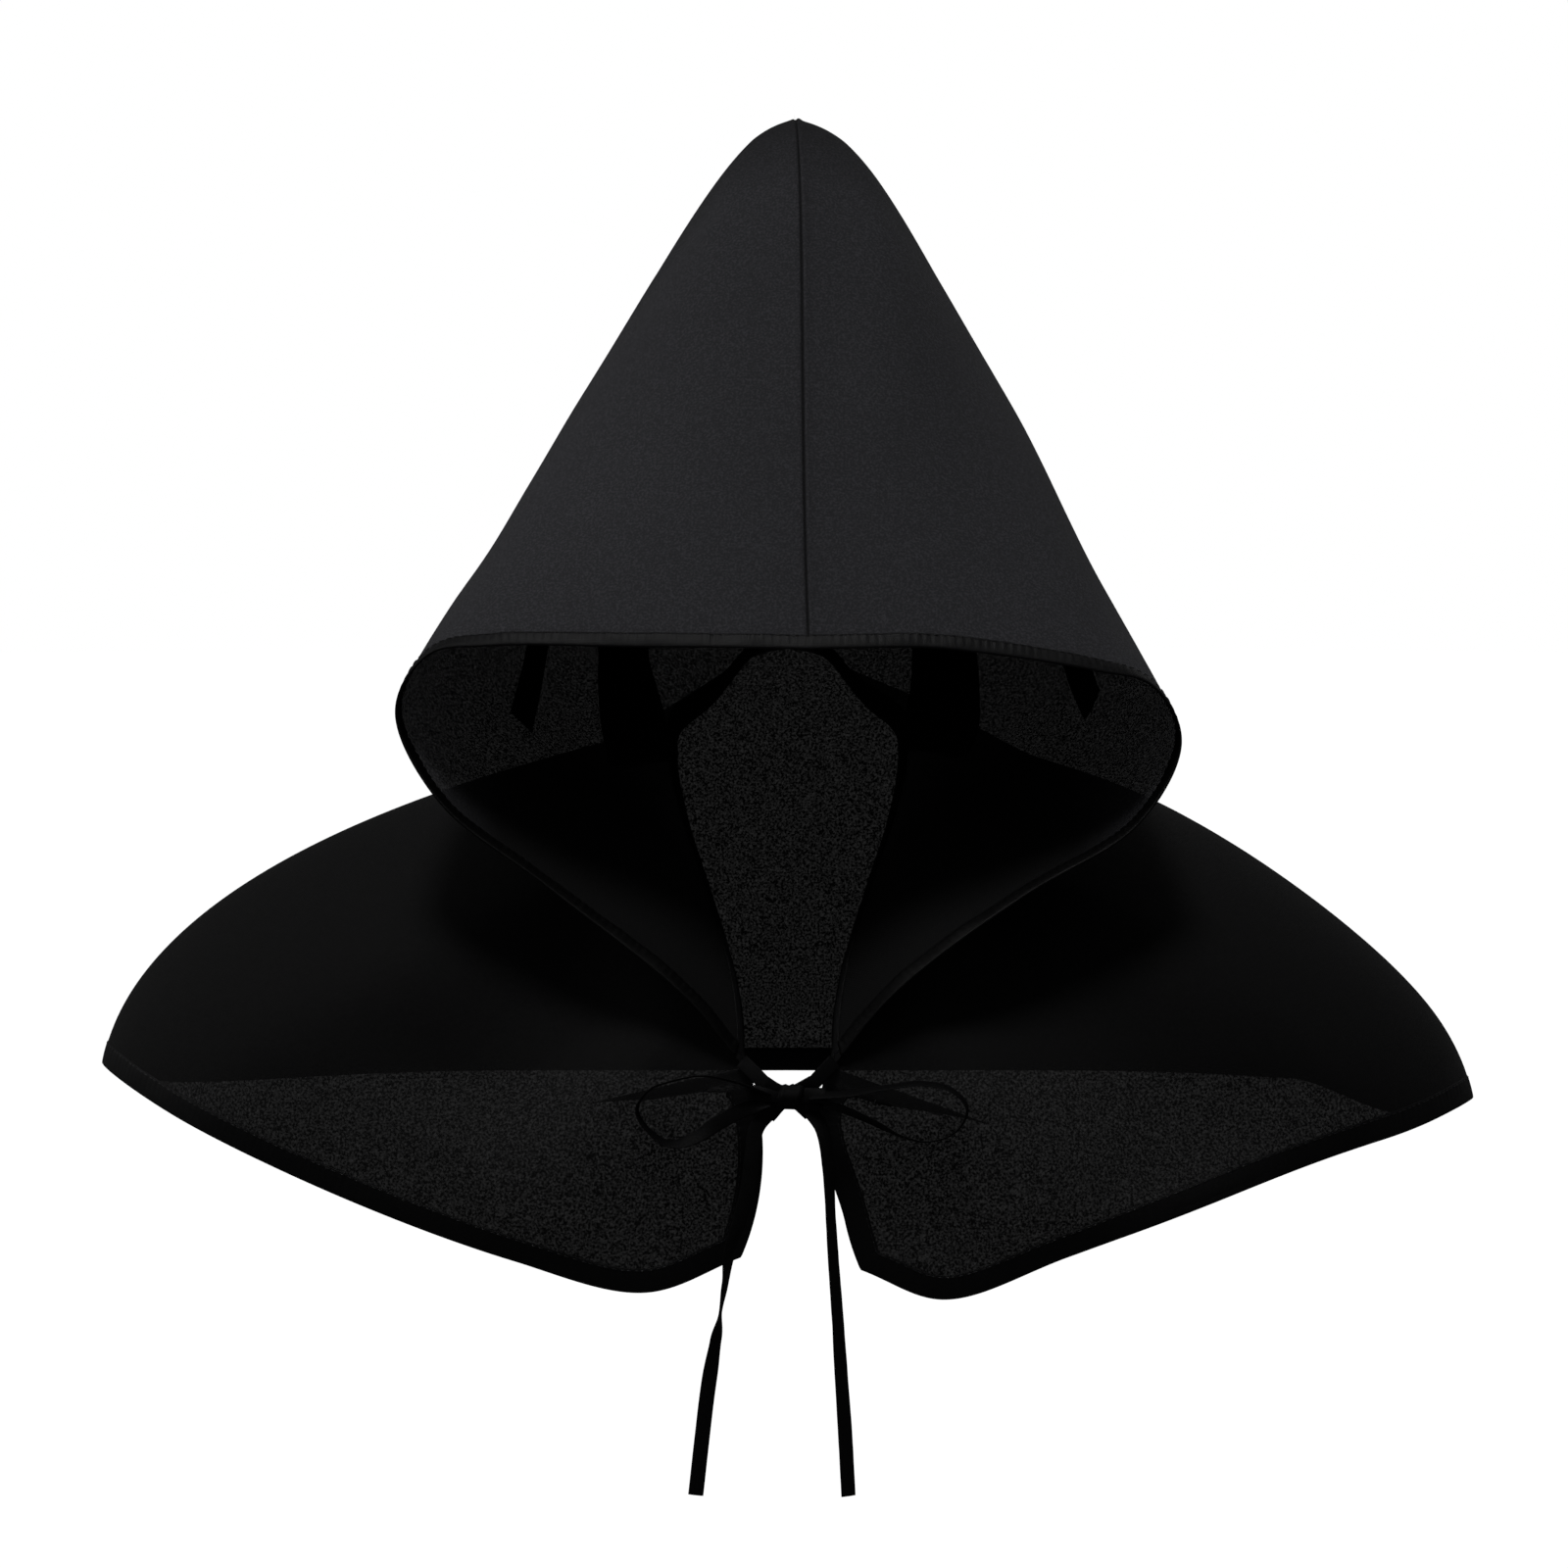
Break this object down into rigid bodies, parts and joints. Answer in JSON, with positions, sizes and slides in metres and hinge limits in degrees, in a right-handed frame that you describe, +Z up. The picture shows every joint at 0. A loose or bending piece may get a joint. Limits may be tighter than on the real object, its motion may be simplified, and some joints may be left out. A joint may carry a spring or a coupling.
{
  "type": "caped hood",
  "caption": "Pointed cloth hood with a wide face opening and a short shoulder cape, tied at the throat with a ribbon bow.",
  "frame": {"origin": "the point inside the front of the crown, in the middle plane, that rests on the wearer's head", "axes": "+Z up as worn, the face opening looks along -Y, +X across the shoulders to the viewer's right"},
  "size_m": [0.564, 0.2447, 0.5393],
  "materials": {
    "black_cloth": "thin plain-weave polyester, matt with a faint sheen",
    "black_hem": "the same cloth turned double and stitched, lightly puckered",
    "black_ribbon": "narrow woven ribbon with a soft sheen"
  },
  "bodies": {
    "root": {"hood_panel_left": "black_cloth", "hood_panel_right": "black_cloth", "face_hem": "black_hem", "neck_band": "black_hem", "cape": "black_cloth", "cape_hem": "black_hem", "tie_lead_left": "black_ribbon", "tie_lead_right": "black_ribbon", "tie_knot": "black_ribbon", "tie_loop_left": "black_ribbon", "tie_loop_right": "black_ribbon", "tie_tail_left": "black_ribbon", "tie_tail_right": "black_ribbon"}
  },
  "joints": []
}
